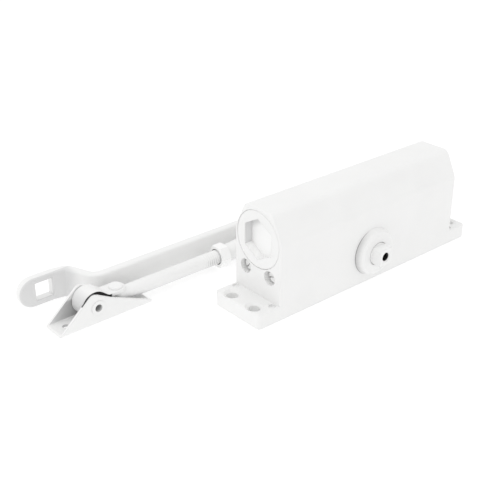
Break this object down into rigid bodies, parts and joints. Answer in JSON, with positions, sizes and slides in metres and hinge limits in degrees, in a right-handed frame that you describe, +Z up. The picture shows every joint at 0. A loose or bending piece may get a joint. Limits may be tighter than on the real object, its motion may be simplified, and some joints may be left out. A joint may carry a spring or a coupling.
{
  "type": "overhead door closer",
  "caption": "Rack-and-pinion overhead door closer: long faceted housing with screw feet and a square spindle, beside its folded two-piece arm with a tilting shoe.",
  "frame": {"origin": "centre of the housing's mounting face, on the surface that it stands on", "axes": "+Z up out of the mounting face; +X along the housing, away from the end with the regulating valves; +Y towards the folded arm, away from the visible spindle end"},
  "size_m": [0.27, 0.118, 0.0626],
  "materials": {
    "white_paint": "smooth satin powder coat",
    "machined_steel": "machined, oiled",
    "spring_steel": "shot-peened, dark",
    "bearing_steel": "polished",
    "piston_iron": "ground, oiled",
    "seal_rubber": "matt",
    "bush_plastic": "dark grey nylon"
  },
  "bodies": {
    "closer": {"housing": "white_paint", "end_cap_left": "white_paint", "end_cap_right": "white_paint", "end_cap_seal_left": "seal_rubber", "end_cap_seal_right": "seal_rubber", "ring_nut_front": "white_paint", "ring_nut_rear": "white_paint", "spindle_bearing_front": "bearing_steel", "spindle_bearing_rear": "bearing_steel", "spindle_seal_front": "seal_rubber", "spindle_seal_rear": "seal_rubber", "main_spring": "spring_steel"},
    "pinion_shaft": {"spindle": "machined_steel"},
    "piston": {"piston": "piston_iron", "piston_ring": "bush_plastic", "check_valve_ball": "bearing_steel", "check_valve_retainer": "machined_steel"},
    "closing_screw": {"closing_valve": "white_paint", "closing_valve_seal": "seal_rubber"},
    "latching_screw": {"latching_valve": "white_paint", "latching_valve_seal": "seal_rubber"},
    "arm": {"main_arm": "white_paint", "elbow_pin": "white_paint", "elbow_washer": "machined_steel"},
    "forearm": {"forearm_socket": "white_paint", "elbow_bush": "bush_plastic"},
    "nut": {"lock_nut": "white_paint"},
    "rod": {"forearm_rod": "white_paint"},
    "link": {"swivel_link": "white_paint", "swivel_rivet": "white_paint", "shoe_bush": "bush_plastic"},
    "shoe": {"shoe_bracket": "white_paint", "shoe_pin": "white_paint"}
  },
  "joints": [
    {"name": "spindle_turn", "type": "hinge", "parent": "closer", "child": "pinion_shaft", "pos_m": [0, 0, 0.0192], "axis": [0, 1, 0], "range_deg": [0, 170]},
    {"name": "piston_slide", "type": "slide", "parent": "closer", "child": "piston", "axis": [1, 0, 0], "range_m": [0, 0.0311], "deforming": ["main_spring"]},
    {"name": "closing_valve_turn", "type": "hinge", "parent": "closer", "child": "closing_screw", "pos_m": [-0.0715, -0.01, 0.0233], "axis": [1, 0, 0], "range_deg": [-180, 540]},
    {"name": "latching_valve_turn", "type": "hinge", "parent": "closer", "child": "latching_screw", "pos_m": [-0.0715, 0.01, 0.0233], "axis": [1, 0, 0], "range_deg": [-180, 540]},
    {"name": "arm_lift", "type": "slide", "parent": "closer", "child": "arm", "axis": [0, 0, 1], "range_m": [0, 0.1]},
    {"name": "elbow", "type": "hinge", "parent": "arm", "child": "forearm", "pos_m": [0.046, 0.0518, 0.0092], "axis": [0, 1, 0], "range_deg": [0, 180]},
    {"name": "lock_nut_turn", "type": "hinge", "parent": "forearm", "child": "nut", "pos_m": [-0.05925, 0.0518, 0.0079], "axis": [1, 0, 0], "range_deg": [-180, 180]},
    {"name": "forearm_length", "type": "slide", "parent": "forearm", "child": "rod", "axis": [-1, 0, 0], "range_m": [-0.006, 0.018]},
    {"name": "link_swivel", "type": "hinge", "parent": "rod", "child": "link", "pos_m": [-0.1358, 0.0518, 0.0079], "axis": [0, 0, 1], "range_deg": [-5, 5]},
    {"name": "shoe_tilt", "type": "hinge", "parent": "link", "child": "shoe", "pos_m": [-0.1528, 0.0518, 0.0104], "axis": [0, 1, 0], "range_deg": [0, 180]}
  ],
  "couplings": [
    {"joint": "spindle_turn", "follows": "piston_slide", "rad_per_m": 95.238}
  ]
}
